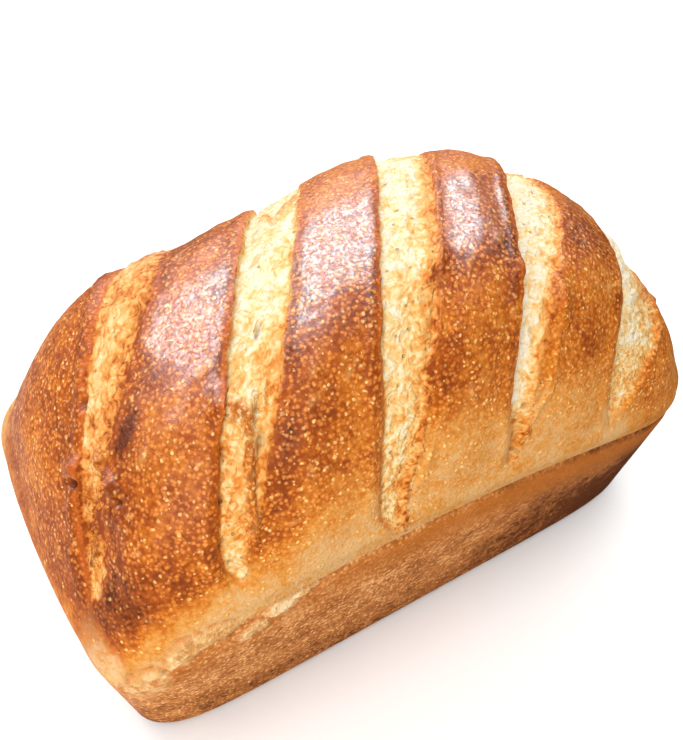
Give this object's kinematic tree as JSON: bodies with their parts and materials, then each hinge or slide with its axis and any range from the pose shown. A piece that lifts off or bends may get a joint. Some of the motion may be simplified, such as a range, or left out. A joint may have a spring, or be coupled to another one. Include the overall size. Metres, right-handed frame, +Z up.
{
  "type": "tin loaf",
  "caption": "White tin loaf with straight drafted sides, a flat base and a high browned crown opened by slanting cuts that show pale crumb.",
  "frame": {"origin": "middle of the bounding box, on the flat base", "axes": "+X along the loaf, +Y to its back, +Z up"},
  "size_m": [0.2258, 0.116, 0.1466],
  "materials": {
    "crust": "browned bread crust, semi-gloss on the crown and matte where the tin held it"
  },
  "bodies": {
    "root": {"loaf": "crust"}
  },
  "joints": []
}
